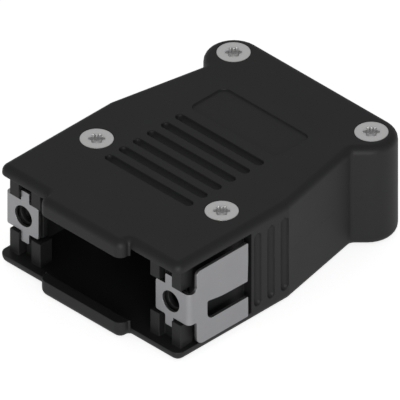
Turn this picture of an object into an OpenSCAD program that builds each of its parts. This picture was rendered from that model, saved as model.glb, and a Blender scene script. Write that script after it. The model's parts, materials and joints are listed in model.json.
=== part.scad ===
// Quick-lock hood for a 15-way D-sub connector.
// Two moulded half shells hold a pair of sprung sheet-metal latches at the front
// and a cable clamp at the rear. The base lies on Z = 0 and the connector end faces -Y.

/* [Body] */
// Width of the body across the latches
body_w = 40.6; // [40.2:0.1:44]
// Length of the body without the front tongues
body_l = 53; // [52:0.5:58]
// Height of the two closed shells
body_h = 19; // [18.5:0.5:22]
// Thickness of the shell walls
wall_t = 1.8; // [1.6:0.1:2]
// Radius of the long outer edges
edge_r = 1.4; // [0.8:0.1:1.45]
// Plan radius of the front corners
corner_r = 1.5; // [1.5:0.1:2.5]
// Distance from the front plane to the start of the side taper
taper_start = 25.2; // [24.8:0.2:28]
// Width at the waist in front of the rear ears
waist_w = 33.5; // [32.5:0.5:35]

/* [Ears] */
// Radius of the rear ears
ear_r = 4.9; // [4.6:0.1:5.4]
// Distance between the centres of the ear arcs
ear_span = 30.2; // [29.8:0.1:32]

/* [Tongues] */
// Width of the front tongues
tongue_w = 18.6; // [14:0.2:20]
// Projection of the tongues in front of the body
tongue_l = 2; // [1.6:0.1:3]
// Plan radius of the tongue corners
tongue_r = 1.5; // [1.5:0.1:2]

/* [Connector] */
// Height of the connector flange held between the tongues
flange_h = 12.55; // [12.3:0.05:12.7]
// Distance between the two lock bolts
bolt_pitch = 33.32; // [33.1:0.02:33.5]
// Diameter of the lock bolt's guide hole in the shell
guide_d = 3; // [2.8:0.1:3.2]

/* [Posts] */
// Distance from the front plane to the front face of the posts
post_setback = 1.63; // [1.5:0.05:1.8]
// Depth of the posts
post_depth = 2.72; // [2.6:0.02:2.9]
// Length of the posts, measured from the outer face of each shell
post_len = 6.16; // [6:0.02:6.3]
// Width of each post
post_w = 2.05; // [1.9:0.05:2.2]
// Width of the notch between the posts
notch_w = 2.8; // [2.75:0.05:3]
// Distance of the notch centre inboard of the bolt axis
notch_shift = 0.79; // [0.75:0.01:0.85]
// Thickness of the guide wall behind the latch
guide_wall_t = 0.9; // [0.8:0.05:1]

/* [Latch] */
// Thickness of the latch sheet
latch_t = 0.6; // [0.5:0.05:0.65]
// Diameter of the bolt hole in the latch
latch_hole_d = 3.84; // [3.6:0.02:4]
// Travel of the latch from rest to fully pressed
latch_travel = 0.9; // [0.6:0.05:0.9]
// Height of the latch arm that carries the bolt hole
latch_arm_h = 5.74; // [5.4:0.02:6]
// Height over the two stop tabs
latch_tab_h = 9.88; // [9:0.04:10.4]
// Width of the stop tabs
latch_tab_w = 1.8; // [1.7:0.02:1.8]
// Length of the arm inboard of the bolt axis
latch_arm_in = 3.4; // [3:0.1:3.6]
// Outer bend radius of the latch
latch_bend_r = 0.9; // [0.8:0.05:1]
// Length of the push plate
push_l = 11.34; // [10.5:0.02:11.5]
// Gap between the push plate and the shell above it
push_gap_top = 1.3; // [1:0.1:1.6]
// Gap between the push plate and the shell below it
push_gap_bottom = 0.1; // [0.1:0.05:0.4]
// Height of the slot in the push plate
push_slot_h = 3.35; // [3:0.05:3.6]
// Depth of the slot's upper edge below mid-height
push_slot_drop = 0.9; // [0.8:0.05:1.2]
// Length of solid plate in front of the slot
push_slot_start = 2.3; // [2:0.1:3]

/* [Latch spring] */
// Outer diameter of the latch spring
spring_d = 3.1; // [2.9:0.05:3.2]
// Wire diameter of the latch spring
spring_wire = 0.36; // [0.3:0.02:0.4]
// Number of turns in the latch spring
spring_turns = 5; // [4:1:6]

/* [Grip grooves] */
// Width of the grip grooves
groove_w = 1.3; // [1:0.1:1.4]
// Depth of the grip grooves
groove_depth = 0.5; // [0.3:0.05:0.5]
// Distance between neighbouring grooves
groove_pitch = 3.05; // [2.8:0.05:3.2]
// Number of grooves across the flat faces
face_grooves = 6; // [3:1:6]
// Length of the grooves across the flat faces
face_groove_l = 19.5; // [16:0.5:20]
// Number of grooves on each side
side_grooves = 3; // [2:1:3]
// Length of the side grooves
side_groove_l = 13.9; // [12:0.1:14]

/* [Label recess] */
// Width of the bare label recess
label_w = 19.66; // [16:0.02:20]
// Length of the bare label recess
label_l = 8; // [6:0.5:8.5]
// Depth of the bare label recess
label_depth = 0.25; // [0.15:0.05:0.4]
// Plan radius of the recess corners
label_r = 1.3; // [0.8:0.1:1.6]

/* [Case screws] */
// Thread diameter of the case screws
screw_d = 3; // [2.9:0.1:3]
// Head diameter of the case screws
screw_head_d = 5.6; // [5.4:0.1:5.8]
// Length of the case screws over the head
screw_l = 14; // [12:0.5:15]
// Distance between the two front case screws
front_screw_span = 28.26; // [27.8:0.02:28.6]
// Distance from the front plane to the front case screws
front_screw_y = 16.1; // [15.9:0.1:16.6]
// Diameter of the case screw bosses
boss_d = 6.6; // [6.2:0.1:6.8]
// Diameter of the brass inserts
insert_d = 4; // [3.9:0.1:4.2]
// Length of the brass inserts
insert_l = 5.5; // [4:0.1:6]

/* [Cable exit] */
// Diameter of the opening in the rear wall
outlet_d = 10.2; // [9.6:0.1:10.8]
// Bore of the grommet
grommet_bore = 8; // [7:0.1:8.4]
// Thickness of the grommet's flange
grommet_flange_t = 1.2; // [1:0.1:1.5]
// Diameter of the cable channel under the clamp
cable_d = 8.2; // [7:0.1:8.6]
// Distance between the two clamp screws
clamp_span = 15; // [14.6:0.1:15.4]
// Width of the clamp strap along the cable
clamp_w = 3.8; // [3.2:0.1:4.2]
// Thickness of the clamp strap
clamp_t = 0.9; // [0.8:0.05:1.1]
// Thread diameter of the clamp screws
clamp_screw_d = 2.5; // [2.3:0.1:2.5]
// Length of the clamp screws under the head
clamp_screw_l = 6; // [5:0.5:6.5]

/* [Hidden] */
$fn = 48;

PLASTIC = [0.10, 0.10, 0.105];
STEEL = [0.70, 0.70, 0.72];
ZINC = [0.80, 0.80, 0.80];
BRASS = [0.80, 0.65, 0.32];
RUBBER = [0.05, 0.05, 0.05];

// Clearances and small fits
slide_gap = 0.07;      // latch tab to post at rest
swing_gap = 0.25;      // pressed latch to inner wall
seat_gap = 0.05;       // dropped-in pieces to their seats
press_gap = 0.01;      // brass inserts to their holes
flange_gap = 0.05;     // connector flange to the tongues, each side
guide_gap = 0.3;       // latch arm to the guide wall behind it
guide_post_gap = 0.14; // guide wall to the other shell's posts
window_gap = 0.75;     // push plate to the rear end of its window
thread_gap = 0.05;     // screw to threaded hole
screw_hole_gap = 0.1;  // screw shank to clearance hole
screw_end_gap = 0.4;   // end of the case screw to the floor of its hole
cut = 1;               // how far cutters run past a face

// Frame: x across, y back from the body's front plane, z up from the parting plane
front_y = tongue_l / 2 - body_l / 2;
half_w = body_w / 2;
half_h = body_h / 2;
plate_z = half_h - wall_t;
bolt_x = bolt_pitch / 2;
post_back = post_setback + post_depth;
post_z = half_h - post_len;

// Latch places, given for the right-hand side
arm_setback = 0.47;    // latch arm behind the front of the posts
square_r = 0.01;       // corners of the sheet that are left square
notch_x = bolt_x - notch_shift;
notch_in = notch_x - notch_w / 2;
notch_out = notch_x + notch_w / 2;
arm_y = post_setback + arm_setback;
push_in = half_w - latch_t;
push_y = post_back + swing_gap;
push_top = plate_z - push_gap_top;
push_bottom = -(plate_z - push_gap_bottom);
tab_out = notch_out - slide_gap;
guide_y = arm_y + latch_t + guide_gap;
guide_low = guide_post_gap - post_z;
guide_inboard = 1.42;  // guide wall beyond the notch

// Shell walls beside the latches
inner_wall_t = 1.2;
inner_wall_x = push_in - latch_travel - swing_gap;
window_end = push_y + push_l + window_gap;
cavity_front_x = inner_wall_x - inner_wall_t;
cavity_side_x = half_w - wall_t;

// Ears, waist and rear wall
ear_screw_side = 0.48; // ear screw outboard of the ear's centre
ear_screw_back = 0.4;  // ear screw behind the ear's centre
ear_solid_r = 4.9;     // solid round each ear screw
tongue_root_r = 0.35;
taper_r = 2;
waist_r = 1;
ear_x = ear_span / 2;
ear_y = body_l - ear_r;
ear_tip_x = ear_x + ear_r * (1 + sqrt(2));
waist_x = waist_w / 2;
waist_y = body_l - (ear_tip_x - waist_x);
rear_screw_x = ear_x + ear_screw_side;
rear_screw_y = ear_y + ear_screw_back;
rear_wall_y = body_l - wall_t;
channel_x = rear_screw_x - ear_solid_r;

// Screws and inserts
front_screw_x = front_screw_span / 2;
boss_r = boss_d / 2;
insert_r = insert_d / 2;
insert_bore = screw_d / 2 + thread_gap;
screw_head_h = (screw_head_d - screw_d) / 2;
insert_top = -0.3;     // inserts sunk below the parting plane
insert_waist = 0.25;   // depth of the insert's waist
insert_band = 0.42;    // share of the insert's length in each knurled band
screw_tip = 0.4;       // chamfer at the end of the case screws

// Spring pocket
spring_lead = 3.9;     // spring's axis behind the front of the push plate
spring_z = 2.6;        // spring's axis above mid-height
spring_gap = 0.2;      // spring to the side of its pocket
pocket_wall = 0.85;
pocket_floor_t = 0.6;
pocket_in = 2.1;       // pocket's floor inboard of the cavity's side
spring_y = push_y + spring_lead;
pocket_r = spring_d / 2 + spring_gap;
pocket_back_x = cavity_front_x - pocket_in;
spring_l = push_in - pocket_back_x - seat_gap;
wall_join = 0.4;       // how far ribs run into a side wall

// Grooves and label
groove_r = (groove_w * groove_w / 4 + groove_depth * groove_depth) / (2 * groove_depth);
face_groove_lead = 3.08;   // first face groove ahead of the window's end
side_groove_back = 1.25;   // first side groove behind the window's end
label_back = 11.4;         // middle of the label recess behind the taper's start
face_groove_y = window_end - face_groove_lead;
side_groove_y = window_end + side_groove_back;
label_y = taper_start + label_back;

// Cable exit
grommet_r = outlet_d / 2 - seat_gap;
grommet_flange_w = 1.1;
grommet_flange_r = grommet_r + grommet_flange_w;
grommet_y = rear_wall_y - seat_gap - grommet_flange_t;
keeper_t = 1.1;
keeper_y = grommet_y - seat_gap - keeper_t;
clamp_lead = 2;        // clamp in front of the grommet's keeper
clamp_y = keeper_y - clamp_lead - clamp_w / 2;
clamp_x = clamp_span / 2;
saddle_z = -0.4;       // top of the saddle below the parting plane
saddle_end = 2.2;      // saddle beyond the clamp screws
saddle_side = 0.3;     // saddle beyond the strap, along the cable
channel_lead = 1.9;    // cable channel beyond the strap, along the cable
clamp_insert_l = 4;
clamp_insert_wall = 0.45;
clamp_insert_r = clamp_screw_d / 2 + clamp_insert_wall;
clamp_head_r = 2.2;
clamp_head_h = 1.4;
clamp_head_rim = 0.6;  // share of the head's height that is straight
clamp_slot_l = 2.6;
clamp_slot_w = 0.5;
clamp_slot_depth = 0.7;

// Six-lobe drive of the case screws
drive_d = 2.7;
drive_depth = 1.1;

// Tongue and groove along the parting line
lip_t = 0.7;
lip_h = 0.8;
lip_gap = 0.08;
lip_lead = 3.4;        // start of the lip behind the window's end
lip_start = window_end + lip_lead;

// Direction of the vector v
function unit(v) = v / norm(v);

// A vector turned by the angle a
function turned(v, a) = [v.x * cos(a) - v.y * sin(a), v.x * sin(a) + v.y * cos(a)];

// The points of one rounded corner of a counter-clockwise outline, moved inward by inset
function corner(before, at, after, r, inset, step = 11.25) =
    let (
        way_in = unit(at - before),
        way_out = unit(after - at),
        turn = atan2(
            cross(way_in, way_out),
            way_in * way_out
        ),
        side = sign(turn),
        left = [-way_in.y, way_in.x],
        centre = at - way_in * r * tan(abs(turn) / 2) + left * side * r,
        steps = max(1, ceil(abs(turn) / step))
    )
    [for (i = [0:steps]) centre - (side * r - inset) * turned(left, turn * i / steps)];

// A closed outline with each corner rounded by its own radius
function rounded(pts, radii, inset = 0, step = 11.25) =
    let (n = len(pts))
    [for (i = [0:n - 1]) each corner(
        pts[(i + n - 1) % n], pts[i], pts[(i + 1) % n], radii[i], inset, step
    )];

// Right-hand points followed by their mirror image
function both(pts) = concat(pts, [for (i = [len(pts) - 1:-1:0]) [-pts[i].x, pts[i].y]]);
function both_radii(radii) = concat(radii, [for (i = [len(radii) - 1:-1:0]) radii[i]]);

// A rectangle with its own radius at each corner
function rounded_rect(low, high, radii, step = 15) = rounded(
    [low, [high.x, low.y], high, [low.x, high.y]], radii, 0, step
);

// Outer outline of the shells
outline = both([
    [tongue_w / 2, -tongue_l],
    [tongue_w / 2, 0],
    [half_w, 0],
    [half_w, taper_start],
    [waist_x, waist_y],
    [ear_tip_x, body_l]
]);
outline_radii = both_radii([tongue_r, tongue_root_r, corner_r, taper_r, waist_r, ear_r]);

// Inner outline of the shells: narrow between the latches, then along the side
// walls and in again between the ears
flare_start = window_end + 0.6;
flare_end = window_end + 2;
neck_start = waist_y - 1.2;
neck_end = waist_y + 2.2;
cavity = both([
    [cavity_front_x, post_back - cut],
    [cavity_front_x, flare_start],
    [cavity_side_x, flare_end],
    [cavity_side_x, taper_start],
    [waist_x - wall_t, neck_start],
    [channel_x, neck_end],
    [channel_x, rear_wall_y]
]);
cavity_radii = both_radii([0.3, 1, 0.5, 1, 1.2, 1.2, 0.6]);

module at_body() translate([0, front_y, half_h]) children();

// Places children on the right, or mirrored on the left
module on_side(side) {
    if (side > 0) children();
    else mirror([1, 0, 0]) children();
}

module box(low, high) translate(low) cube(high - low);

// A cylinder with round ends, its axis along x
module rod(l, r) {
    rotate([0, 90, 0]) cylinder(h = l - 2 * r, r = r, center = true);
    for (s = [-1, 1]) translate([s * (l / 2 - r), 0, 0]) sphere(r);
}

// Ring that cuts the long outer edge round, all along the outline
module outer_edge() {
    bands = 6;
    over = 0.3;
    section = concat(
        [for (k = [0:bands]) [edge_r * (1 - cos(90 * k / bands)),
                              half_h - edge_r + edge_r * sin(90 * k / bands)]],
        [[edge_r, half_h + over], [-over, half_h + over], [-over, half_h - edge_r]]
    );
    m = len(section);
    n = len(rounded(outline, outline_radii));
    polyhedron(
        points = [for (s = section) each [
            for (p = rounded(outline, outline_radii, s.x)) [p.x, p.y, s.y]
        ]],
        faces = [for (k = [0:m - 1], i = [0:n - 1]) let (up = (k + 1) % m, on = (i + 1) % n)
            [k * n + i, k * n + on, up * n + on, up * n + i]]
    );
}

// One shell with its outer face up: a solid slab, less the hollow, which is less the
// features that stand in it. The children are features of that shell alone.
module half_shell(low) {
    difference() {
        translate([0, 0, low]) linear_extrude(half_h - low)
            polygon(rounded(outline, outline_radii));
        outer_edge();
        difference() {
            hollow(low - cut);
            shared_features();
            children();
        }
        half_cuts();
    }
}

// Everything that is open between the plates, and below the parting plane from low
module hollow(low) {
    tongue_z = flange_h / 2 + flange_gap;
    translate([0, 0, low]) linear_extrude(plate_z - low)
        polygon(rounded(cavity, cavity_radii));
    box([-half_w - cut, 0, low], [half_w + cut, post_back, plate_z]);
    box([-tongue_w / 2 - cut, -tongue_l - cut, low], [tongue_w / 2 + cut, cut, tongue_z]);
    box([-half_w - cut, -tongue_l - cut, low], [half_w + cut, body_l + cut, 0]);
    for (side = [-1, 1]) on_side(side)
        box([inner_wall_x, post_back - cut, low], [half_w + cut, window_end, plate_z]);
}

module shared_features() {
    for (side = [-1, 1]) on_side(side) {
        post(notch_in - post_w);
        post(notch_out);
        translate([front_screw_x, front_screw_y, 0]) cylinder(h = half_h, r = boss_r);
    }
    grommet_keeper();
}

module post(x) box([x, post_setback, post_z], [x + post_w, post_back, half_h]);

// Rib that keeps the grommet's flange against the rear wall
module grommet_keeper() {
    difference() {
        box([-channel_x - wall_join, keeper_y, 0],
            [channel_x + wall_join, keeper_y + keeper_t, half_h]);
        along_y(keeper_y - cut, keeper_t + 2 * cut, grommet_r + seat_gap);
    }
}

// A cylinder along y that starts at the distance y from the front plane
module along_y(y, l, r) translate([0, y, 0]) rotate([-90, 0, 0]) cylinder(h = l, r = r);

// Cuts that both shells share
module half_cuts() {
    along_y(rear_wall_y - cut, wall_t + 2 * cut, outlet_d / 2);
    for (i = [0:face_grooves - 1])
        translate([0, face_groove_y + i * groove_pitch, half_h + groove_r - groove_depth])
            rod(face_groove_l, groove_r);
    for (side = [-1, 1], i = [0:side_grooves - 1])
        translate([side * (half_w + groove_r - groove_depth), side_groove_y + i * groove_pitch, 0])
            rotate([0, 90, 0]) rod(side_groove_l, groove_r);
}

// The ring between two copies of the inner outline, behind the latch windows
module parting_ring(z0, z1, from, to) {
    intersection() {
        translate([0, 0, z0]) linear_extrude(z1 - z0) difference() {
            polygon(rounded(cavity, cavity_radii, -to));
            polygon(rounded(cavity, cavity_radii, -from));
        }
        difference() {
            box([-half_w, lip_start, z0 - cut], [half_w, body_l, z1 + cut]);
            box([-outlet_d / 2 - lip_t, keeper_y - cut, z0 - 2 * cut],
                [outlet_d / 2 + lip_t, body_l + cut, z1 + 2 * cut]);
        }
    }
}

module top_shell() {
    color(PLASTIC) at_body() difference() {
        half_shell(guide_low) for (side = [-1, 1]) on_side(side) {
            guide_wall();
            spring_block();
        }
        for (side = [-1, 1]) on_side(side) spring_pocket();
        each_screw() case_screw_hole();
        parting_ring(-cut, lip_h + lip_gap, -lip_gap, lip_t + lip_gap);
        label_recess();
    }
}

module bottom_shell() {
    color(PLASTIC) at_body() mirror([0, 0, 1]) difference() {
        half_shell(-lip_h) {
            parting_ring(-lip_h - cut, cut, 0, lip_t);
            cable_saddle();
        }
        each_screw() insert_hole();
        cable_channel();
        for (side = [-1, 1]) translate([side * clamp_x, clamp_y, 0]) clamp_insert_hole();
    }
}

// Wall behind the latch arm, with the guide hole for the lock bolt
module guide_wall() {
    low = [notch_in - guide_inboard, guide_low];
    high = [inner_wall_x, half_h];
    difference() {
        translate([0, guide_y + guide_wall_t, 0]) rotate([90, 0, 0]) linear_extrude(guide_wall_t)
            polygon(rounded_rect(low, high, [0.6, 0.6, 0.1, 0.1]));
        translate([bolt_x, 0, 0]) along_y(guide_y - cut, guide_wall_t + 2 * cut, guide_d / 2);
    }
}

// Block that holds the latch spring, behind the inner wall
module spring_block() {
    box([pocket_back_x - pocket_floor_t, spring_y - pocket_r - pocket_wall, 0],
        [inner_wall_x, spring_y + pocket_r + pocket_wall, half_h]);
}

module spring_pocket() {
    translate([pocket_back_x, spring_y, spring_z]) rotate([0, 90, 0])
        cylinder(h = inner_wall_x - pocket_back_x + cut, r = pocket_r);
}

// Children at each of the four case screws
module each_screw() {
    for (side = [-1, 1]) {
        translate([side * front_screw_x, front_screw_y, 0]) children();
        translate([side * rear_screw_x, rear_screw_y, 0]) children();
    }
}

module case_screw_hole() {
    hole_r = screw_d / 2 + screw_hole_gap;
    head_r = screw_head_d / 2 + seat_gap;
    translate([0, 0, -cut]) cylinder(h = half_h + 2 * cut, r = hole_r);
    translate([0, 0, half_h - (head_r - hole_r)])
        cylinder(h = head_r - hole_r, r1 = hole_r, r2 = head_r);
    translate([0, 0, half_h]) cylinder(h = cut, r = head_r);
}

// Blind hole for a brass insert, open at the parting plane
module insert_hole() {
    translate([0, 0, -cut]) {
        cylinder(h = cut - insert_top + insert_l, r = insert_r + press_gap);
        cylinder(h = cut + screw_l - half_h + screw_end_gap, r = insert_bore);
    }
}

module label_recess() {
    translate([0, label_y, half_h - label_depth]) linear_extrude(label_depth + cut)
        polygon(rounded_rect([-label_w / 2, -label_l / 2], [label_w / 2, label_l / 2],
                             [label_r, label_r, label_r, label_r]));
}

// Bed under the cable, with the clamp's two threaded inserts
module cable_saddle() {
    end_x = clamp_x + saddle_end;
    side_y = clamp_w / 2 + saddle_side;
    box([-end_x, clamp_y - side_y, -saddle_z], [end_x, clamp_y + side_y, half_h]);
}

module cable_channel() {
    reach = clamp_w / 2 + channel_lead;
    along_y(clamp_y - reach, 2 * reach, cable_d / 2);
}

module clamp_insert_hole() {
    translate([0, 0, -saddle_z - cut]) {
        cylinder(h = clamp_insert_l + cut + seat_gap, r = clamp_insert_r + press_gap);
        cylinder(h = clamp_screw_l + cut, r = clamp_screw_d / 2 + screw_hole_gap);
    }
}

// Sheet-metal latch with the bolt hole in its arm and a push plate along the side
module latch(side) {
    color(STEEL) at_body() on_side(side) difference() {
        union() {
            latch_arm();
            latch_bend();
            push_plate();
        }
        translate([bolt_x, 0, 0]) along_y(arm_y - cut, latch_t + 2 * cut, latch_hole_d / 2);
    }
}

module latch_arm() {
    arm_z = latch_arm_h / 2;
    tab_z = latch_tab_h / 2;
    tab_in = tab_out - latch_tab_w;
    arm_end = bolt_x - latch_arm_in;
    bend_x = half_w - latch_bend_r;
    translate([0, arm_y + latch_t, 0]) rotate([90, 0, 0]) linear_extrude(latch_t) polygon(rounded(
        [
            [arm_end, -arm_z], [tab_in, -arm_z], [tab_in, -tab_z], [tab_out, -tab_z],
            [tab_out, -arm_z], [bend_x, -arm_z], [bend_x, arm_z], [tab_out, arm_z],
            [tab_out, tab_z], [tab_in, tab_z], [tab_in, arm_z], [arm_end, arm_z]
        ],
        [0.4, 0.3, 0.4, 0.25, 0.3, square_r, square_r, 0.3, 0.25, 0.4, 0.3, 0.25], 0, 22.5
    ));
}

module latch_bend() {
    bend_x = half_w - latch_bend_r;
    translate([bend_x, arm_y + latch_bend_r, 0]) intersection() {
        difference() {
            cylinder(h = latch_arm_h, r = latch_bend_r, center = true);
            cylinder(h = latch_arm_h + cut, r = latch_bend_r - latch_t, center = true);
        }
        box([0, -latch_bend_r - cut, -latch_arm_h], [latch_bend_r + cut, 0, latch_arm_h]);
    }
}

module push_plate() {
    arm_z = latch_arm_h / 2;
    end_y = push_y + push_l;
    slot_top = -push_slot_drop;
    slot_bottom = slot_top - push_slot_h;
    slot_y = push_y + push_slot_start;
    bend_y = arm_y + latch_bend_r;
    translate([push_in, 0, 0]) rotate([90, 0, 90]) linear_extrude(latch_t) polygon(rounded(
        [
            [bend_y, -arm_z], [push_y, -arm_z], [push_y, push_bottom], [end_y, push_bottom],
            [end_y, slot_bottom], [slot_y, slot_bottom], [slot_y, slot_top], [end_y, slot_top],
            [end_y, push_top], [push_y, push_top], [push_y, arm_z], [bend_y, arm_z]
        ],
        [square_r, 0.15, 1, 0.15, 0.15, 1.1, 0.7, 0.15, 0.3, 1.2, 0.8, square_r], 0, 15
    ));
}

// Compression spring between the pocket floor and the push plate
module latch_spring(side) {
    sides = 6;
    per_turn = 14;
    dead_turns = 1;
    turns = spring_turns + 2 * dead_turns;
    wire_r = spring_wire / 2;
    mean_r = spring_d / 2 - wire_r;
    closed_pitch = spring_wire * 1.05;
    open_pitch = (spring_l - spring_wire - 2 * dead_turns * closed_pitch) / spring_turns;
    // Distance along the axis after t turns: close-wound ends, open middle
    function lead(t) = min(t, dead_turns) * closed_pitch
        + min(max(t - dead_turns, 0), spring_turns) * open_pitch
        + max(t - dead_turns - spring_turns, 0) * closed_pitch;
    n = turns * per_turn;
    color(STEEL) at_body() on_side(side)
    translate([pocket_back_x + seat_gap / 2 + wire_r, spring_y, spring_z])
    polyhedron(
        points = [for (i = [0:n], k = [0:sides - 1]) let (
            a = 360 * i / per_turn,
            r = mean_r + wire_r * cos(360 * k / sides)
        ) [lead(i / per_turn) + wire_r * sin(360 * k / sides), r * cos(a), r * sin(a)]],
        faces = concat(
            [[for (k = [sides - 1:-1:0]) k]],
            [[for (k = [0:sides - 1]) n * sides + k]],
            [for (i = [0:n - 1], k = [0:sides - 1])
                [i * sides + k, i * sides + (k + 1) % sides,
                 (i + 1) * sides + (k + 1) % sides, (i + 1) * sides + k]]
        )
    );
}

// Countersunk screw with a six-lobe drive, standing under its head plane
module case_screw() {
    shank_r = screw_d / 2;
    translate([0, 0, half_h]) difference() {
        union() {
            translate([0, 0, -screw_head_h])
                cylinder(h = screw_head_h, r1 = shank_r, r2 = screw_head_d / 2);
            translate([0, 0, screw_tip - screw_l])
                cylinder(h = screw_l - screw_tip - screw_head_h / 2, r = shank_r);
            translate([0, 0, -screw_l])
                cylinder(h = screw_tip, r1 = shank_r - screw_tip, r2 = shank_r);
        }
        six_lobe(drive_d, drive_depth);
    }
}

// Six round lobes about a core, open upward
module six_lobe(d, depth) {
    lobe_r = d * 0.14;
    core_r = d * 0.38;
    translate([0, 0, -depth]) {
        cylinder(h = depth + cut, r = core_r);
        for (a = [0:60:300]) rotate(a) translate([d / 2 - lobe_r, 0, 0])
            cylinder(h = depth + cut, r = lobe_r, $fn = 24);
    }
}

module screw_at(x, y) color(ZINC) at_body() translate([x, y, 0]) case_screw();

// Threaded brass insert with a waist, hanging below the plane z = 0
module brass_insert(r, bore_r, l) {
    difference() {
        union() {
            translate([0, 0, -l]) cylinder(h = l * insert_band, r = r);
            translate([0, 0, -l]) cylinder(h = l, r = r - insert_waist);
            translate([0, 0, -l * insert_band]) cylinder(h = l * insert_band, r = r);
        }
        translate([0, 0, -l - cut]) cylinder(h = l + 2 * cut, r = bore_r);
    }
}

module insert_at(x, y) {
    color(BRASS) at_body() translate([x, y, insert_top])
        brass_insert(insert_r, insert_bore, insert_l);
}

// Bent strap over the cable
module cable_clamp() {
    arch_r = cable_d / 2;
    foot_r = clamp_w / 2;
    clear_x = arch_r + clamp_t + cut;
    color(STEEL) at_body() translate([0, clamp_y, 0]) difference() {
        union() {
            difference() {
                along_y(-clamp_w / 2, clamp_w, arch_r + clamp_t);
                box([-clear_x, -clamp_w, -clear_x], [clear_x, clamp_w, saddle_z]);
            }
            for (side = [-1, 1]) on_side(side) {
                box([arch_r, -foot_r, saddle_z], [clamp_x, foot_r, saddle_z + clamp_t]);
                translate([clamp_x, 0, saddle_z]) cylinder(h = clamp_t, r = foot_r);
            }
        }
        along_y(-clamp_w, 2 * clamp_w, arch_r);
        for (side = [-1, 1]) translate([side * clamp_x, 0, saddle_z - cut])
            cylinder(h = clamp_t + 2 * cut, r = clamp_screw_d / 2 + screw_hole_gap);
    }
}

// Pan-head screw with a cross slot
module clamp_screw(side) {
    top = saddle_z + clamp_t;
    rim_h = clamp_head_h * clamp_head_rim;
    color(ZINC) at_body() translate([side * clamp_x, clamp_y, top]) difference() {
        union() {
            cylinder(h = rim_h, r = clamp_head_r);
            translate([0, 0, rim_h])
                cylinder(h = clamp_head_h - rim_h, r1 = clamp_head_r, r2 = clamp_head_r - rim_h / 2);
            translate([0, 0, -clamp_screw_l])
                cylinder(h = clamp_screw_l + clamp_slot_depth / 2, r = clamp_screw_d / 2);
        }
        for (a = [0, 90]) rotate(a)
            box([-clamp_slot_l / 2, -clamp_slot_w / 2, clamp_head_h - clamp_slot_depth],
                [clamp_slot_l / 2, clamp_slot_w / 2, clamp_head_h + cut]);
    }
}

module clamp_insert(side) {
    color(BRASS) at_body() translate([side * clamp_x, clamp_y, saddle_z])
        brass_insert(clamp_insert_r, clamp_screw_d / 2 + thread_gap, clamp_insert_l);
}

// Soft bush in the rear wall, its flange held by the keeper ribs
module cable_grommet() {
    color(RUBBER) at_body() difference() {
        union() {
            along_y(grommet_y, grommet_flange_t, grommet_flange_r);
            along_y(grommet_y, body_l - grommet_y, grommet_r);
        }
        along_y(grommet_y - cut, body_l - grommet_y + 2 * cut, grommet_bore / 2);
    }
}

top_shell();
bottom_shell();
cable_grommet();
cable_clamp();
latch(-1);  // left_latch
latch(1);  // right_latch
latch_spring(-1);  // left_latch_spring
latch_spring(1);  // right_latch_spring
screw_at(-front_screw_x, front_screw_y);  // front_left_screw
screw_at(front_screw_x, front_screw_y);  // front_right_screw
screw_at(-rear_screw_x, rear_screw_y);  // rear_left_screw
screw_at(rear_screw_x, rear_screw_y);  // rear_right_screw
insert_at(-front_screw_x, front_screw_y);  // front_left_insert
insert_at(front_screw_x, front_screw_y);  // front_right_insert
insert_at(-rear_screw_x, rear_screw_y);  // rear_left_insert
insert_at(rear_screw_x, rear_screw_y);  // rear_right_insert
clamp_screw(-1);  // left_clamp_screw
clamp_screw(1);  // right_clamp_screw
clamp_insert(-1);  // left_clamp_insert
clamp_insert(1);  // right_clamp_insert
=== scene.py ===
import json
import math

import bmesh
import bpy
from mathutils import Matrix, Vector


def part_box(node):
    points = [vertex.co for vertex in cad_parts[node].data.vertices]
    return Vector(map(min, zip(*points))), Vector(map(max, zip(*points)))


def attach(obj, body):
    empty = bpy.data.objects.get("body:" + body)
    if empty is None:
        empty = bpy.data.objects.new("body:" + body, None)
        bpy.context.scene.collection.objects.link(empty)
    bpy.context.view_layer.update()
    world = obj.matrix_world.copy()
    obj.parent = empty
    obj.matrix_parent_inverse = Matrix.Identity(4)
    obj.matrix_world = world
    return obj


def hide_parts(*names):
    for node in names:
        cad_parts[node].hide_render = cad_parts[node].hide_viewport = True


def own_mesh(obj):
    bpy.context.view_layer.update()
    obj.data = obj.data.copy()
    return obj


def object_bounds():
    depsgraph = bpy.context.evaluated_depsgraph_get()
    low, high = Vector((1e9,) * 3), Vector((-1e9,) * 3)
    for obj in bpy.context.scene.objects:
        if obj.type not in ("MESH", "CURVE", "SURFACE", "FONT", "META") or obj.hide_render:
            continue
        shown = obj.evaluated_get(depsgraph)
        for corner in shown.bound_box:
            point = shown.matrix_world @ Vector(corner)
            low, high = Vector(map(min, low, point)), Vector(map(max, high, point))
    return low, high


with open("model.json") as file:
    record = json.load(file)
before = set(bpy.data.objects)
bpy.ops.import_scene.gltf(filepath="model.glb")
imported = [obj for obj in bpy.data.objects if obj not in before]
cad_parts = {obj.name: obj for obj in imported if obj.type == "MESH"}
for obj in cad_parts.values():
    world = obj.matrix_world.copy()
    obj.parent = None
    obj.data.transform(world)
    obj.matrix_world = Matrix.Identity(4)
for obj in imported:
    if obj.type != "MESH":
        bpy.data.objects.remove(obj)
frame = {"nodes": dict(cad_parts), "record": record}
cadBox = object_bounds()
mm = 0.001
print("frame loaded")


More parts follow.
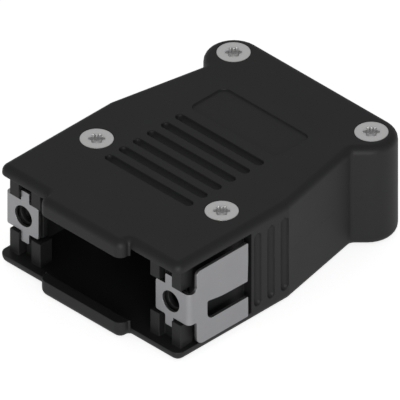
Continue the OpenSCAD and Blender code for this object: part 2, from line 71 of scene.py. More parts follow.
# Shader maths: a wrapped socket, so that an expression on values adds its Math nodes
class Wire:
    def __init__(self, tree, socket=None):
        self.tree = tree
        self.socket = socket

    # Any other node: its type, its settings, which are set first, and its sockets' values or links
    def node(self, kind, settings=None, sockets=None, output=0):
        made = self.tree.nodes.new("ShaderNode" + kind)
        for key, value in (settings or {}).items():
            setattr(made, key, value)
        for key, value in (sockets or {}).items():
            if isinstance(value, Wire):
                self.tree.links.new(value.socket, made.inputs[key])
            else:
                made.inputs[key].default_value = value
        return Wire(self.tree, made.outputs[output])

    def maths(self, operation, first, second):
        return self.node("Math", {"operation": operation}, {0: first, 1: second})

    def __add__(self, other):
        return self.maths("ADD", self, other)

    __radd__ = __add__

    def __sub__(self, other):
        return self.maths("SUBTRACT", self, other)

    def __rsub__(self, other):
        return self.maths("SUBTRACT", other, self)

    def __mul__(self, other):
        return self.maths("MULTIPLY", self, other)

    __rmul__ = __mul__

    def mixed(self, low, high):  # this wire as the factor between two colours
        return self.node("Mix", {"data_type": "RGBA"}, {"Factor": self, "A": low, "B": high}, "Result")


# A new material: itself, a wire to start from, and its Principled shader
def newMaterial(name, **values):
    material = bpy.data.materials.new(name)
    material.use_nodes = True
    shader = material.node_tree.nodes["Principled BSDF"]
    for key, value in values.items():
        shader.inputs[key].default_value = value
    return material, Wire(material.node_tree), shader


def feed(wire, shader, socket):
    wire.tree.links.new(wire.socket, shader.inputs[socket])


def noiseAt(start, place, size, detail=2.0, roughness=0.5):
    sockets = {"Vector": place, "Scale": 1 / size, "Detail": detail, "Roughness": roughness}
    return start.node("TexNoise", None, sockets)


# A noise turned into a swing to either side of nothing
def swing(noise, spread):
    return (noise - 0.5) * spread


def relief(height, depth, shader):
    bump = height.node("Bump", None, {"Height": height, "Distance": depth, "Strength": 1.0})
    feed(bump, shader, "Normal")


shellFinish = {
    "colour": (0.01, 0.01, 0.0103, 1),
    "worn": (0.0145, 0.0145, 0.0148, 1),
    "shine": 0.42,
    "roughness": 0.55,
    "roughnessSpread": 0.08,
    "grainSize": 0.16 * mm,
    "grainDepth": 0.004 * mm,
    "patchSize": 9 * mm,
}


# Black moulded plastic with a fine spark-eroded grain and a faint drift in gloss
def mouldedPlastic(finish):
    material, start, shader = newMaterial("mouldedPlastic", Metallic=0.0)
    shader.inputs["Specular IOR Level"].default_value = finish["shine"]
    place = start.node("TexCoord", output="Object")
    grain = noiseAt(start, place, finish["grainSize"], 3.0, 0.6)
    patch = noiseAt(start, place, finish["patchSize"], 3.0)
    spread = finish["roughnessSpread"]
    feed(patch.mixed(finish["colour"], finish["worn"]), shader, "Base Color")
    feed(finish["roughness"] + swing(patch, spread) + swing(grain, spread), shader, "Roughness")
    relief(grain, finish["grainDepth"], shader)
    return material


latchFinish = {
    "colour": (0.43, 0.43, 0.44, 1),
    "shade": (0.37, 0.37, 0.385, 1),
    "roughness": 0.42,
    "lineSize": 0.05 * mm,
    "lineStretch": 30,
    "lineDepth": 0.0012 * mm,
    "lineSpread": 0.12,
    "toneSize": 3 * mm,
    "toneShare": 0.6,
    "toneSpread": 0.06,
}


# Rolled spring sheet: fine lines along the strip, and a slow change in tone
def rolledSheet(finish):
    material, start, shader = newMaterial("rolledSheet", Metallic=1.0)
    place = start.node("TexCoord", output="Object")
    along = 1 / finish["lineStretch"]
    drawnOut = start.node("Mapping", {"vector_type": "POINT"}, {"Vector": place, "Scale": (along, along, 1)})
    lines = noiseAt(start, drawnOut, finish["lineSize"], 3.0, 0.6)
    tone = noiseAt(start, place, finish["toneSize"])
    blend = tone * finish["toneShare"] + lines * (1 - finish["toneShare"])
    feed(blend.mixed(finish["shade"], finish["colour"]), shader, "Base Color")
    rough = finish["roughness"] + swing(lines, finish["lineSpread"]) + swing(tone, finish["toneSpread"])
    feed(rough, shader, "Roughness")
    relief(lines, finish["lineDepth"], shader)
    return material


zincFinish = {
    "colour": (0.84, 0.84, 0.835, 1),
    "shade": (0.7, 0.7, 0.7, 1),
    "roughness": 0.36,
    "ringSize": 0.09 * mm,
    "ringSpread": 0.1,
    "ringRelief": 0.6,
    "mottleSize": 0.5 * mm,
    "mottleShare": 0.7,
    "mottleSpread": 0.14,
    "depth": 0.003 * mm,
}


# Zinc-plated screw: faint turning rings about its own axis, and a mottled plating
def zincPlating(finish):
    material, start, shader = newMaterial("zincPlating", Metallic=1.0)
    place = start.node("TexCoord", output="Object")
    flat = start.node("VectorMath", {"operation": "MULTIPLY"}, {0: place, 1: (1, 1, 0)})
    radius = start.node("VectorMath", {"operation": "LENGTH"}, {0: flat}, "Value")
    rings = start.node("TexNoise", {"noise_dimensions": "1D"}, {"W": radius, "Scale": 1 / finish["ringSize"]})
    mottle = noiseAt(start, place, finish["mottleSize"], 3.0)
    blend = mottle * finish["mottleShare"] + rings * (1 - finish["mottleShare"])
    feed(blend.mixed(finish["shade"], finish["colour"]), shader, "Base Color")
    rough = finish["roughness"] + swing(mottle, finish["mottleSpread"]) + swing(rings, finish["ringSpread"])
    feed(rough, shader, "Roughness")
    relief(rings * finish["ringRelief"] + mottle * (1 - finish["ringRelief"]), finish["depth"], shader)
    return material


brassFinish = {
    "colour": (0.8, 0.6, 0.27, 1),
    "shade": (0.62, 0.44, 0.17, 1),
    "roughness": 0.3,
    "mottleSize": 0.4 * mm,
    "mottleSpread": 0.15,
    "depth": 0.003 * mm,
}


def turnedBrass(finish):
    material, start, shader = newMaterial("turnedBrass", Metallic=1.0)
    place = start.node("TexCoord", output="Object")
    mottle = noiseAt(start, place, finish["mottleSize"], 3.0)
    feed(mottle.mixed(finish["shade"], finish["colour"]), shader, "Base Color")
    feed(finish["roughness"] + swing(mottle, finish["mottleSpread"]), shader, "Roughness")
    relief(mottle, finish["depth"], shader)
    return material


wireFinish = {
    "colour": (0.66, 0.66, 0.67, 1),
    "shade": (0.5, 0.5, 0.51, 1),
    "roughness": 0.25,
    "scuffSize": 0.2 * mm,
    "scuffSpread": 0.15,
}


def drawnWire(finish):
    material, start, shader = newMaterial("drawnWire", Metallic=1.0)
    place = start.node("TexCoord", output="Object")
    scuff = noiseAt(start, place, finish["scuffSize"], 3.0)
    feed(scuff.mixed(finish["shade"], finish["colour"]), shader, "Base Color")
    feed(finish["roughness"] + swing(scuff, finish["scuffSpread"]), shader, "Roughness")
    return material


rubberFinish = {
    "colour": (0.024, 0.024, 0.023, 1),
    "shade": (0.012, 0.012, 0.012, 1),
    "roughness": 0.72,
    "bloomSize": 2 * mm,
    "bloomSpread": 0.12,
    "poreSize": 0.1 * mm,
    "poreDepth": 0.004 * mm,
}


def softRubber(finish):
    material, start, shader = newMaterial("softRubber", Metallic=0.0)
    place = start.node("TexCoord", output="Object")
    bloom = noiseAt(start, place, finish["bloomSize"], 4.0)
    pores = noiseAt(start, place, finish["poreSize"])
    feed(bloom.mixed(finish["shade"], finish["colour"]), shader, "Base Color")
    feed(finish["roughness"] + swing(bloom, finish["bloomSpread"]), shader, "Roughness")
    relief(pores, finish["poreDepth"], shader)
    return material


finishes = {
    "shell_plastic": mouldedPlastic(shellFinish),
    "latch_steel": rolledSheet(latchFinish),
    "screw_zinc": zincPlating(zincFinish),
    "insert_brass": turnedBrass(brassFinish),
    "spring_steel": drawnWire(wireFinish),
    "grommet_rubber": softRubber(rubberFinish),
}
slotOf = {row["node"]: row["material_slot"] for row in frame["record"]["subparts"]}
bodyOf = {node: body for body, nodes in frame["record"]["behaviour"]["bodies"].items() for node in nodes}
print("materials made")


# Puts a finished mesh in the scene as the piece that stands for a CAD node
def standFor(node, mesh, at=(0, 0, 0)):
    data = bpy.data.meshes.new(node + "_finished")
    mesh.to_mesh(data)
    mesh.free()
    data.materials.append(finishes[slotOf[node]])
    piece = bpy.data.objects.new(node + "_finished", data)
    bpy.context.collection.objects.link(piece)
    piece.location = at
    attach(piece, bodyOf[node])
    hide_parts(node)
    return piece


def middleOf(node):
    low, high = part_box(node)
    return (low + high) / 2


def smoothFaces(mesh):
    for face in mesh.faces:
        face.smooth = True


# What counts as a seam and as a flat face, and how sharp edges are rounded; angles in degrees
meshCare = {
    "seam": 0.002 * mm, "ringSeam": 0.0005 * mm, "flatWithin": 0.5,
    "sharpFrom": 30, "segments": 2, "flatWeight": 80,
}


def mergeFlats(mesh, flatWithin):
    limit = math.radians(flatWithin)
    bmesh.ops.dissolve_limit(mesh, angle_limit=limit, verts=mesh.verts, edges=mesh.edges)


# Welds the seams and makes the flat faces whole
def cleanMesh(mesh):
    bmesh.ops.remove_doubles(mesh, verts=mesh.verts, dist=meshCare["seam"])
    mergeFlats(mesh, meshCare["flatWithin"])
    smoothFaces(mesh)


# The CAD solid's own mesh
def solidMesh(node):
    mesh = bmesh.new()
    mesh.from_mesh(frame["nodes"][node].data)
    cleanMesh(mesh)
    return mesh


# How much each sharp edge takes of the piece's edge rounding
def weighEdges(mesh, share=None):
    weights = mesh.edges.layers.float.new("bevel_weight_edge")
    for edge in mesh.edges:
        if len(edge.link_faces) == 2 and edge.calc_face_angle(0) > math.radians(meshCare["sharpFrom"]):
            edge[weights] = share((edge.verts[0].co + edge.verts[1].co) / 2) if share else 1.0


# Rounds the weighed edges a little, and keeps the flats flat in the shading
def easeEdges(piece, width):
    bevel = piece.modifiers.new("easedEdges", "BEVEL")
    bevel.width = width
    bevel.segments = meshCare["segments"]
    bevel.limit_method = "WEIGHT"
    bevel.use_clamp_overlap = False
    bevel.miter_outer = "MITER_ARC"
    shading = piece.modifiers.new("flatShading", "WEIGHTED_NORMAL")
    shading.weight = meshCare["flatWeight"]
    shading.keep_sharp = False


# Rings of points joined into a skin, all of one length, and closed at both ends if it is capped
def skin(rings, capped=False):
    mesh = bmesh.new()
    rows = [[mesh.verts.new(place) for place in ring] for ring in rings]
    count = len(rows[0])
    for first, second in zip(rows, rows[1:]):
        for k in range(count):
            n = (k + 1) % count
            mesh.faces.new((first[k], first[n], second[n], second[k]))
    if capped:
        mesh.faces.new(rows[0][::-1])
        mesh.faces.new(rows[-1])
    bmesh.ops.recalc_face_normals(mesh, faces=mesh.faces[:])
    smoothFaces(mesh)
    return mesh


# Joins the last ring of a hollow turned piece to its first
def closeSection(mesh):
    bmesh.ops.remove_doubles(mesh, verts=mesh.verts, dist=meshCare["ringSeam"])
    return mesh


def circle(radius, height, sides, shape=None):
    ring = []
    for k in range(sides):
        angle = 2 * math.pi * k / sides
        reach = radius * (shape(angle, height) if shape else 1)
        ring.append(Vector((reach * math.cos(angle), reach * math.sin(angle), height)))
    return ring


midHeight = (cadBox[0].z + cadBox[1].z) / 2
latchSetback = 2.1 * mm  # the solid latch's arm behind the body's front plane
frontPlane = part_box("right_latch")[0].y - latchSetback

# How much rounding the edges get: less beside the rear screw heads and along the parting line
shellEdges = {
    "width": 0.1 * mm,
    "besideHeads": 0.2, "headReach": 2.95 * mm, "headDrop": 1.6 * mm,
    "partingLine": 0.15, "partingWithin": 0.02 * mm,
}
# Grip grooves in mm, back from the front plane: a row across each face and three down each side
gripGrooves = {
    "width": 1.6, "faceDepth": 0.79, "sideDepth": 0.6,
    "faceFirst": 13.85, "facePitch": 3.18, "faceCount": 6, "faceReach": 9.7,
    "sideFirst": 18.1, "sidePitch": 3.02, "sideCount": 3, "sideReach": 7.1,
    "sides": 40, "endSteps": 6, "endStep": 14.5,
}
# Where the solid's own row of grooves lies across a face, in mm
solidGrooves = {"reach": 9.9, "back": (12.4, 30.4), "sunk": (0.003, 0.6)}
# Stop behind each lower notch of the posts, in mm: across, back and up from mid-height
latchStop = {"across": (14.4, 16.87), "back": (2.95, 3.85), "up": (-7.8, -3.36)}


# Radius of the rod that cuts a groove this deep
def rodRadius(depth):
    return (gripGrooves["width"] ** 2 / 4 + depth ** 2) / (2 * depth)


# Round-ended rod that cuts one groove: half its length, its depth, then where its middle goes
def grooveRod(half, depth, place):
    radius = rodRadius(depth)
    half -= gripGrooves["width"] / 2
    steps = gripGrooves["endSteps"]
    rings = []
    for step in range(-steps, steps + 1):
        angle = math.radians(gripGrooves["endStep"] * abs(step))
        end = -1 if step < 0 else 1
        for way in (end,) if step else (-1, 1):
            height = way * half + end * radius * math.sin(angle)
            rings.append(circle(radius * math.cos(angle) * mm, height * mm, gripGrooves["sides"]))
    mesh = skin(rings, capped=True)
    mesh.transform(place)
    return mesh


# Several meshes as one
def joinedTools(tools):
    joined = bpy.data.meshes.new("tools")
    whole = bmesh.new()
    for tool in tools:
        tool.to_mesh(joined)
        tool.free()
        whole.from_mesh(joined)
    whole.to_mesh(joined)
    whole.free()
    return joined


# All the rods that meet one half shell
def grooveRods(face):
    groove = gripGrooves
    aboveFace = (rodRadius(groove["faceDepth"]) - groove["faceDepth"]) * mm
    aboveSide = (rodRadius(groove["sideDepth"]) - groove["sideDepth"]) * mm
    height = cadBox[1].z + aboveFace if face > 0 else cadBox[0].z - aboveFace
    rods = []
    for k in range(groove["faceCount"]):
        back = frontPlane + (groove["faceFirst"] + groove["facePitch"] * k) * mm
        place = Matrix.Translation((0, back, height)) @ Matrix.Rotation(math.pi / 2, 4, "Y")
        rods.append(grooveRod(groove["faceReach"], groove["faceDepth"], place))
    for k in range(groove["sideCount"]):
        back = frontPlane + (groove["sideFirst"] + groove["sidePitch"] * k) * mm
        for x in (cadBox[0].x - aboveSide, cadBox[1].x + aboveSide):
            place = Matrix.Translation((x, back, midHeight))
            rods.append(grooveRod(groove["sideReach"], groove["sideDepth"], place))
    return joinedTools(rods)


# The two stops behind the lower notches
def latchStops():
    corners = [[value * mm for value in latchStop[key]] for key in ("across", "back", "up")]
    size = [high - low for low, high in corners]
    across, back, up = [(low + high) / 2 for low, high in corners]
    stops = []
    for side in (-1, 1):
        middle = Matrix.Translation((side * across, frontPlane + back, midHeight + up))
        stops.append(bmesh.new())
        bmesh.ops.create_cube(stops[-1], size=1, matrix=middle @ Matrix.Diagonal((*size, 1)))
    return joinedTools(stops)


# Fills the solid's row of grooves across a face, so that it can be cut wider
def closeFaceGrooves(mesh, plane):
    reach = solidGrooves["reach"] * mm
    first, last = (frontPlane + back * mm for back in solidGrooves["back"])
    shallow, deep = (depth * mm for depth in solidGrooves["sunk"])
    sunk = []
    for vertex in mesh.verts:
        inRow = abs(vertex.co.x) < reach and first < vertex.co.y < last
        if inRow and shallow < abs(vertex.co.z - plane) < deep:
            sunk.append(vertex)
    bmesh.ops.delete(mesh, geom=sunk, context="VERTS")
    bmesh.ops.holes_fill(mesh, edges=[edge for edge in mesh.edges if edge.is_boundary], sides=0)
    mergeFlats(mesh, meshCare["flatWithin"])


# A copy of the mesh after each tool in turn is added to it or cut from it
def worked(mesh, steps):
    data = bpy.data.meshes.new("whole")
    mesh.to_mesh(data)
    mesh.free()
    whole = bpy.data.objects.new("whole", data)
    pieces = [whole]
    for operation, tool in steps:
        pieces.append(bpy.data.objects.new("tool", tool))
        working = whole.modifiers.new("working", "BOOLEAN")
        working.operation = operation
        working.solver = "EXACT"
        working.object = pieces[-1]
    for piece in pieces:
        bpy.context.collection.objects.link(piece)
    result = bmesh.new()
    result.from_mesh(whole.evaluated_get(bpy.context.evaluated_depsgraph_get()).data)
    for piece in pieces:
        bpy.data.objects.remove(piece)
    return result


# Moulded half shell, with its grooves recut, the lower one's stops added, and its edges eased
def makeShell(node, face):
    mesh = solidMesh(node)
    closeFaceGrooves(mesh, cadBox[1].z if face > 0 else cadBox[0].z)
    stops = [("UNION", latchStops())] if face < 0 else []
    mesh = worked(mesh, stops + [("DIFFERENCE", grooveRods(face))])
    cleanMesh(mesh)
    heads = [middleOf(screw).xy for screw in ("rear_left_screw", "rear_right_screw")]

    def share(place):
        if abs(place.z - midHeight) < shellEdges["partingWithin"]:
            return shellEdges["partingLine"]
        close = min((place.xy - head).length for head in heads) < shellEdges["headReach"]
        high = abs(place.z - cadBox[1].z) < shellEdges["headDrop"]
        return shellEdges["besideHeads"] if close and high else 1.0

    weighEdges(mesh, share)
    easeEdges(standFor(node, mesh), shellEdges["width"])


makeShell("top_shell", 1)
makeShell("bottom_shell", -1)
print("shells made")


# Corners of an outline, each with its radius, as a closed row of points; the step is in degrees
def roundedOutline(corners, step=12):
    points = []
    for k, (x, y, radius) in enumerate(corners):
        at = Vector((x, y))
        before = (Vector(corners[k - 1][:2]) - at).normalized()
        after = (Vector(corners[(k + 1) % len(corners)][:2]) - at).normalized()
        opening = before.angle(after)
        centre = at + (before + after).normalized() * radius / math.sin(opening / 2)
        start = at + before * radius / math.tan(opening / 2) - centre
        end = at + after * radius / math.tan(opening / 2) - centre
        turn = start.angle_signed(end)
        steps = max(2, math.ceil(abs(math.degrees(turn)) / step))
        points += [centre + Matrix.Rotation(-turn * n / steps, 2) @ start for n in range(steps + 1)]
    return points


# Sizes in mm for the right-hand latch: across the body, back from the front plane, up from mid-height
latchShape = {
    "sheet": 0.57, "edge": 0.05, "flatWithin": 0.3,
    "armFront": 2.05, "outerX": 20.8, "bend": 0.9, "bendSteps": 10,
    "armEnd": 13.26, "armHalf": 2.98,
    "tabIn": 15.4, "tabOut": 17.2, "tabHalf": 4.95,
    "holeX": 16.66, "hole": 1.92, "holeSides": 64,
    "plateStart": 3.85, "plateEnd": 15.45, "plateTop": 6.8, "plateBottom": -7.55,
    "slotStart": 6.25, "slotBottom": -3.7, "slotTop": 0.0, "knee": 9.5, "kneeTop": -0.6, "slotEndTop": -0.8,
    "creaseRise": 3.0, "creaseDrop": 0.12, "leafMargin": 0.5, "slack": 0.01,
    # Radii of the outline's corners
    "armCorner": 0.45, "tabRoot": 0.1, "tabLowRoot": 0.35, "tabInCorner": 0.3, "tabOutCorner": 0.25,
    "neckLow": 0.45, "neckHigh": 0.75, "plateLow": 1.5, "plateHigh": 0.9, "plateRear": 0.2, "leafRear": 0.15,
    "leafTop": 0.3, "slotLow": 1.3, "slotHigh": 0.3, "kneeBend": 14,
}


# Outline of the flat sheet from the arm's lower inner corner round the plate and back;
# front, rear, slot and knee are places along the flat sheet
def latchOutline(shape, front, rear, slot, knee):
    armHalf, tabHalf, tabIn, tabOut = shape["armHalf"], shape["tabHalf"], shape["tabIn"], shape["tabOut"]
    return roundedOutline([
        (shape["armEnd"], -armHalf, shape["armCorner"]),
        (tabIn, -armHalf, shape["tabLowRoot"]),
        (tabIn, -tabHalf, shape["tabInCorner"]),
        (tabOut, -tabHalf, shape["tabOutCorner"]),
        (tabOut, -armHalf, shape["tabRoot"]),
        (front, -armHalf, shape["neckLow"]),
        (front, shape["plateBottom"], shape["plateLow"]),
        (rear, shape["plateBottom"], shape["plateRear"]),
        (rear, shape["slotBottom"], shape["plateRear"]),
        (slot, shape["slotBottom"], shape["slotLow"]),
        (slot, shape["slotTop"], shape["slotHigh"]),
        (knee, shape["kneeTop"], shape["kneeBend"]),
        (rear, shape["slotEndTop"], shape["leafRear"]),
        (rear, shape["plateTop"], shape["leafTop"]),
        (front, shape["plateTop"], shape["plateHigh"]),
        (front, armHalf, shape["neckHigh"]),
        (tabOut, armHalf, shape["tabRoot"]),
        (tabOut, tabHalf, shape["tabOutCorner"]),
        (tabIn, tabHalf, shape["tabInCorner"]),
        (tabIn, armHalf, shape["tabRoot"]),
        (shape["armEnd"], armHalf, shape["armCorner"]),
    ])


# Stamped latch: a flat sheet cut to its outline, thickened, then bent round the corner of the body
def makeLatch(node, outward):
    shape = latchShape
    bendX = shape["outerX"] - shape["bend"]
    bendY = shape["armFront"] + shape["bend"]
    middle = shape["bend"] - shape["sheet"] / 2  # radius of the bend at the middle of the sheet
    turn = math.pi / 2 * middle  # and its length there
    places = [bendX + turn + shape[key] - bendY for key in ("plateStart", "plateEnd", "slotStart", "knee")]
    front, rear, slot, knee = places
    hole = [Vector((shape["holeX"] + at.x, at.y)) for at in circle(shape["hole"], 0, shape["holeSides"])]
    mesh = bmesh.new()
    edges = []
    for loop in (latchOutline(shape, front, rear, slot, knee), hole):
        row = [mesh.verts.new((place.x, place.y, 0)) for place in loop]
        edges += [mesh.edges.new((row[k - 1], row[k])) for k in range(len(row))]
    bmesh.ops.triangle_fill(mesh, use_beauty=True, use_dissolve=False, edges=edges)

    creaseStart = Vector((slot, shape["slotTop"], 0))
    crease = Vector((rear, shape["creaseRise"], 0)) - creaseStart
    down = Vector((crease.y, -crease.x, 0)).normalized()
    steps = shape["bendSteps"]
    cuts = [(Vector((bendX + turn * k / steps, 0, 0)), Vector((1, 0, 0))) for k in range(steps + 1)]
    for place, normal in cuts + [(creaseStart, down)]:
        everything = mesh.verts[:] + mesh.edges[:] + mesh.faces[:]
        bmesh.ops.bisect_plane(mesh, geom=everything, plane_co=place, plane_no=normal)
    grown = bmesh.ops.extrude_face_region(mesh, geom=mesh.faces[:], use_keep_orig=True)["geom"]
    for part in grown:
        if isinstance(part, bmesh.types.BMVert):
            part.co.z = shape["sheet"]

    reach = (Vector((rear, shape["slotEndTop"], 0)) - creaseStart).dot(down)
    for vertex in mesh.verts:
        along, height, deep = vertex.co
        below = (Vector((along, height, 0)) - creaseStart).dot(down)
        onLeaf = along > slot - shape["slack"] and height > shape["slotEndTop"] - shape["leafMargin"]
        angle = min(max(along - bendX, 0), turn) / middle
        back = max(along - bendX - turn, 0)
        radius = shape["bend"] - deep
        x = min(along, bendX) + radius * math.sin(angle)
        if onLeaf and below > 0:
            x -= shape["creaseDrop"] * below / reach
        y = bendY - radius * math.cos(angle) + back
        vertex.co = (outward * x * mm, frontPlane + y * mm, midHeight + height * mm)
    bmesh.ops.recalc_face_normals(mesh, faces=mesh.faces[:])
    mergeFlats(mesh, shape["flatWithin"])
    smoothFaces(mesh)
    weighEdges(mesh)
    easeEdges(standFor(node, mesh), shape["edge"] * mm)


makeLatch("left_latch", -1)
makeLatch("right_latch", 1)
print("latches made")

clampShape = {"edge": 0.08 * mm}


# Clamp strap: the solid's own shape with eased edges
def makeClamp(node):
    mesh = solidMesh(node)
    weighEdges(mesh)
    easeEdges(standFor(node, mesh), clampShape["edge"])


makeClamp("cable_clamp")
print("clamp made")

# Heights are from the top of the case screw's head and from under the clamp screw's; head rings in mm
caseScrew = {
    "sides": 96, "headTop": 0, "underHead": -1.3 * mm,
    "headRings": ((1.75, 0), (2.3, 0), (2.69, 0), (2.74, -0.02), (2.75, -0.06)),
    "shank": 1.5 * mm, "root": 1.22 * mm, "length": 14 * mm, "tip": 0.4 * mm, "tipStep": 0.1 * mm,
    "pitch": 0.5 * mm, "threadFrom": -5.5 * mm, "threadRows": 6, "threadAtTip": 0.2,
    "lobeOuter": 1.36 * mm, "lobeInner": 1.0 * mm, "lobes": 6, "lobeTurn": 45, "lobeRound": 0.8,
    "driveDepth": 1.2 * mm,
}
clampScrew = {
    "sides": 96, "headTop": 1.4 * mm, "underHead": 0,
    "headRings": ((1.55, 1.38), (1.85, 1.24), (2.08, 1.0), (2.18, 0.7), (2.2, 0.4), (2.2, 0.06), (2.14, 0)),
    "shank": 1.25 * mm, "root": 1.02 * mm, "length": 6 * mm, "tip": 0.3 * mm, "tipStep": 0.1 * mm,
    "pitch": 0.45 * mm, "threadFrom": -1.2 * mm, "threadRows": 6, "threadAtTip": 0.2,
    "lobeOuter": 1.3 * mm, "slotHalf": 0.27 * mm,
    "driveDepth": 0.75 * mm,
}
# Drive recess: its outline's scale at shares of its depth, then at depths in mm close to its mouth
driveRecess = {
    "point": 0.15 * mm, "pointDepth": 1.06,
    "wall": ((0.9, 1), (0.97, 0.9)),
    "mouth": ((1.0, 0.08), (1.02, 0.02), (1.06, 0)),
}


# Thread down to the tip: a helical ridge with straight flanks, which fades out at both ends
def threadRings(screw):
    top, bottom = screw["threadFrom"], screw["tip"] - screw["length"]
    pitch, shank = screw["pitch"], screw["shank"]
    rows = math.ceil((top - bottom) / pitch * screw["threadRows"])
    rings = []
    for row in range(rows + 1):
        height = top + (bottom - top) * row / rows
        fade = min(1, (top - height) / pitch, (height - bottom) / pitch + screw["threadAtTip"])

        def ridge(angle, place):
            phase = (place / pitch - angle / (2 * math.pi)) % 1
            depth = min(1, max(0, 1.5 - abs(phase - 0.5) * 4))  # root, flank and crest in each turn
            return 1 - (1 - screw["root"] / shank) * depth * max(0, fade)

        rings.append(circle(shank, height, screw["sides"], ridge))
    return rings


def sixLobes(screw):
    middle = (screw["lobeOuter"] + screw["lobeInner"]) / 2
    depth = (screw["lobeOuter"] - screw["lobeInner"]) / 2

    def outline(angle, height):
        wave = math.cos(screw["lobes"] * (angle - math.radians(screw["lobeTurn"])))
        return middle + depth * math.copysign(abs(wave) ** screw["lobeRound"], wave)

    return outline


def crossSlot(screw):
    def outline(angle, height):
        off = abs(math.sin((angle + math.pi / 4) % (math.pi / 2) - math.pi / 4))
        return min(screw["lobeOuter"], screw["slotHalf"] / max(off, 0.01))

    return outline


# The drive recess from its floor up to the head's flat, with a small chamfer at its mouth
def driveRings(screw, outline):
    sides, top, depth = screw["sides"], screw["headTop"], screw["driveDepth"]
    rings = [circle(driveRecess["point"], top - depth * driveRecess["pointDepth"], sides)]
    rings += [circle(scale, top - depth * share, sides, outline) for scale, share in driveRecess["wall"]]
    rings += [circle(scale, top - drop * mm, sides, outline) for scale, drop in driveRecess["mouth"]]
    return rings


def makeScrew(node, screw, outline):
    sides = screw["sides"]
    rings = driveRings(screw, outline)
    rings += [circle(radius * mm, height * mm, sides) for radius, height in screw["headRings"]]
    rings.append(circle(screw["shank"], screw["underHead"], sides))
    rings += threadRings(screw)
    rings.append(circle(screw["root"] - screw["tipStep"], -screw["length"], sides))
    middle = middleOf(node)
    standFor(node, skin(rings, capped=True), (middle.x, middle.y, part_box(node)[1].z - screw["headTop"]))


for node in ("front_left_screw", "front_right_screw", "rear_left_screw", "rear_right_screw"):
    makeScrew(node, caseScrew, sixLobes(caseScrew))
for node in ("left_clamp_screw", "right_clamp_screw"):
    makeScrew(node, clampScrew, crossSlot(clampScrew))
print("screws made")

brassInsert = {
    "sides": 144, "boreGap": 0.05 * mm, "shoulder": 0.2 * mm,
    "band": 0.42, "bandEnd": 0.08 * mm, "rows": 7,  # share of the length in each knurled band
    "teeth": 36, "toothDepth": 0.12 * mm, "slant": 0.9,
    "waist": 0.25 * mm, "waistStep": 0.06 * mm,
}


# Threaded insert: two bands of slanted knurling either side of a waist, and a plain bore
def makeInsert(node, screw):
    low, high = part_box(node)
    outer = (high.x - low.x) / 2
    length = high.z - low.z
    bore = screw["shank"] + brassInsert["boreGap"]
    sides = brassInsert["sides"]
    waist = outer - brassInsert["waist"]
    step = brassInsert["waistStep"]
    tall = length * brassInsert["band"] - 2 * brassInsert["bandEnd"]

    def knurled(turnWay):
        def shape(angle, height):
            wave = math.cos(brassInsert["teeth"] * (angle + turnWay * brassInsert["slant"] * height / outer))
            return 1 - brassInsert["toothDepth"] / outer * (0.5 - 0.5 * wave)

        return shape

    def band(top, turnWay):
        rows = brassInsert["rows"]
        return [circle(outer, top - tall * row / rows, sides, knurled(turnWay)) for row in range(rows + 1)]

    upper, lower = -brassInsert["bandEnd"], -length * (1 - brassInsert["band"])
    rings = [circle(bore, 0, sides), circle(outer - brassInsert["shoulder"], 0, sides)]
    rings += band(upper, 1)
    rings += [circle(waist, upper - tall - step, sides), circle(waist, lower + step, sides)]
    rings += band(lower, -1)
    rings += [circle(outer - brassInsert["shoulder"], -length, sides), circle(bore, -length, sides)]
    rings.append(rings[0])
    middle = middleOf(node)
    standFor(node, closeSection(skin(rings)), (middle.x, middle.y, high.z))


for node in ("front_left_insert", "front_right_insert", "rear_left_insert", "rear_right_insert"):
    makeInsert(node, caseScrew)
for node in ("left_clamp_insert", "right_clamp_insert"):
    makeInsert(node, clampScrew)
print("inserts made")

latchSpring = {
    "gap": 0.03,  # mm, from the push plate
    "wire": 0.36 * mm, "turns": 5, "endTurns": 1, "closedPitch": 1.03, "ground": 0.35,
    "perTurn": 30, "sides": 12,
}


# Compression spring with closed, ground ends, reaching from its seat to just short of the push plate
def makeSpring(node):
    low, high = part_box(node)
    radius = latchSpring["wire"] / 2
    coil = (high.z - low.z) / 2 - radius
    inward = 1 if low.x > 0 else -1
    fixedEnd = middleOf(node)
    fixedEnd.x = low.x if inward > 0 else high.x
    length = (latchShape["outerX"] - latchShape["sheet"] - latchSpring["gap"]) * mm - abs(fixedEnd.x)
    ends, middle = latchSpring["endTurns"], latchSpring["turns"]
    closed = latchSpring["wire"] * latchSpring["closedPitch"]
    ground = latchSpring["wire"] * latchSpring["ground"]
    openPitch = (length + 2 * ground - 2 * radius - 2 * ends * closed) / middle
    rings = []
    for step in range((middle + 2 * ends) * latchSpring["perTurn"] + 1):
        turns = step / latchSpring["perTurn"]
        lead = min(turns, ends) * closed + min(max(turns - ends, 0), middle) * openPitch
        lead += max(turns - ends - middle, 0) * closed
        angle = 2 * math.pi * turns
        ring = []
        for k in range(latchSpring["sides"]):
            about = 2 * math.pi * k / latchSpring["sides"]
            reach = coil + radius * math.cos(about)
            place = min(max(lead + radius - ground + radius * math.sin(about), 0), length)
            ring.append(Vector((inward * place, reach * math.cos(angle), reach * math.sin(angle))))
        rings.append(ring)
    spring = standFor(node, skin(rings, capped=True), fixedEnd)
    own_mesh(spring)


makeSpring("left_latch_spring")
makeSpring("right_latch_spring")
print("springs made")

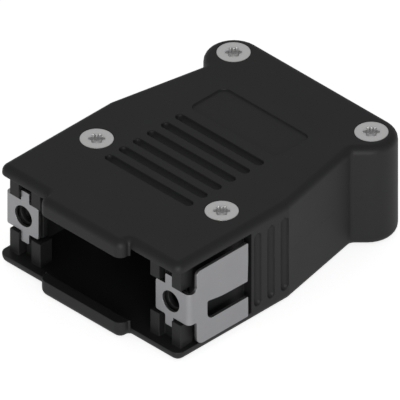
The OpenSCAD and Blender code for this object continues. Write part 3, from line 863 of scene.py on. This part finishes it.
# Section of the grommet in mm: radius, and place along the cable from the flange's inner face
grommetShape = {
    "sides": 96,
    "length": 3.05,
    "section": (
        (4.35, 0.0), (5.9, 0.0), (6.07, 0.05), (6.15, 0.2), (6.15, 1.0), (6.07, 1.15), (5.9, 1.2),  # flange
        (5.2, 1.2), (5.05, 1.28), (5.05, 2.8), (4.97, 2.97), (4.8, 3.05), (4.45, 3.05), (4.25, 2.99),  # lip
        (4.12, 2.85), (4.02, 2.6), (4.0, 2.45), (4.02, 2.3), (4.2, 2.1), (4.22, 2.0), (4.2, 1.9),  # bore
        (4.02, 1.7), (4.0, 1.55), (4.02, 1.4), (4.2, 1.2), (4.22, 1.1), (4.2, 1.0),
        (4.02, 0.8), (4.0, 0.6), (4.05, 0.3), (4.15, 0.1), (4.35, 0.0),
    ),
}


# Soft bush with a flange, a rounded lip and ribs in its bore
def makeGrommet(node):
    low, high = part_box(node)
    stretch = (high.y - low.y) / grommetShape["length"]
    rings = []
    for radius, along in grommetShape["section"]:
        ring = circle(radius * mm, 0, grommetShape["sides"])
        rings.append([Vector((place.x, along * stretch, place.y)) for place in ring])
    middle = middleOf(node)
    standFor(node, closeSection(skin(rings)), (middle.x, low.y, middle.z))


makeGrommet("cable_grommet")
print("grommet made")

# Camera: on the diagonal of the body's front right corner, at the height of an isometric view
cameraView = {
    "azimuth": 45,
    "elevation": 35.264,
    "distance": 0.6,
    "target": Vector((0.12, -0.285, 9.5)) * mm,
    "width": 63.95 * mm,
    "clip": (0.01, 10),
}


# Turns a camera or lamp to the object from an azimuth, 0 in front, and an elevation in degrees
def aim(thing, row):
    turn = math.radians(row["azimuth"])
    rise = math.radians(row["elevation"])
    towards = Vector((math.sin(turn) * math.cos(rise), -math.cos(turn) * math.cos(rise), math.sin(rise)))
    bpy.context.collection.objects.link(thing)
    thing.location = cameraView["target"] + towards * row["distance"]
    thing.rotation_mode = "QUATERNION"
    thing.rotation_quaternion = (-towards).to_track_quat("-Z", "Y")


def makeCamera():
    camera = bpy.data.objects.new("camera", bpy.data.cameras.new("camera"))
    camera.data.type = "ORTHO"
    camera.data.ortho_scale = cameraView["width"]
    camera.data.clip_start, camera.data.clip_end = cameraView["clip"]
    aim(camera, cameraView)
    bpy.context.scene.camera = camera
    bpy.context.scene.view_settings.view_transform = "Standard"


# A low, wide key lamp for the side faces, and a weak one that the screw heads mirror
lampRows = {
    "keyLamp": {
        "azimuth": 48, "elevation": 10, "distance": 0.7, "width": 0.45, "height": 0.14, "watts": 1.9,
    },
    "backLamp": {
        "azimuth": 225, "elevation": 38, "distance": 0.7, "width": 0.45, "height": 0.45, "watts": 0.12,
    },
}


def makeLamp(name):
    row = lampRows[name]
    lamp = bpy.data.objects.new(name, bpy.data.lights.new(name, "AREA"))
    lamp.data.shape = "RECTANGLE"
    lamp.data.size = row["width"]
    lamp.data.size_y = row["height"]
    lamp.data.energy = row["watts"]
    aim(lamp, row)


# World: white to the camera, a plain soft grey to everything else
worldLevels = {"seen": 1.0, "light": 0.34}


def makeWorld():
    world = bpy.data.worlds.new("studio")
    bpy.context.scene.world = world
    world.use_nodes = True
    cameraRay = Wire(world.node_tree).node("LightPath", output="Is Camera Ray")
    backdrop = world.node_tree.nodes["Background"]
    backdrop.inputs["Color"].default_value = (1, 1, 1, 1)
    strength = cameraRay * (worldLevels["seen"] - worldLevels["light"]) + worldLevels["light"]
    feed(strength, backdrop, "Strength")


# Floor: white where no shadow falls, and half as bright in reflections; strength times each share
floorLevels = {
    "colour": 0.8, "roughness": 0.9, "strength": 2.0, "seen": 0.38, "mirrored": 0.19,
    "size": 4.0, "cells": 8, "drop": 0.01 * mm,
}


def makeFloor():
    levels = floorLevels
    cells = levels["cells"]
    mesh = bmesh.new()
    bmesh.ops.create_grid(mesh, x_segments=cells, y_segments=cells, size=levels["size"] / 2)
    data = bpy.data.meshes.new("floor")
    mesh.to_mesh(data)
    mesh.free()
    floor = bpy.data.objects.new("floor", data)
    bpy.context.collection.objects.link(floor)
    floor.location = (0, 0, cadBox[0].z - levels["drop"])
    material, start, shader = newMaterial("paleFloor", Roughness=levels["roughness"])
    shader.inputs["Base Color"].default_value = (levels["colour"],) * 3 + (1,)
    shader.inputs["Specular IOR Level"].default_value = 0.0
    shader.inputs["Emission Strength"].default_value = levels["strength"]
    cameraRay = start.node("LightPath", output="Is Camera Ray")
    glossyRay = start.node("LightPath", output="Is Glossy Ray")
    glow = cameraRay * levels["seen"] + glossyRay * levels["mirrored"]
    feed(glow.node("CombineColor", None, {0: glow, 1: glow, 2: glow}), shader, "Emission Color")
    data.materials.append(material)


makeCamera()
for name in lampRows:
    makeLamp(name)
makeWorld()
makeFloor()
print("camera, lamps and floor placed")
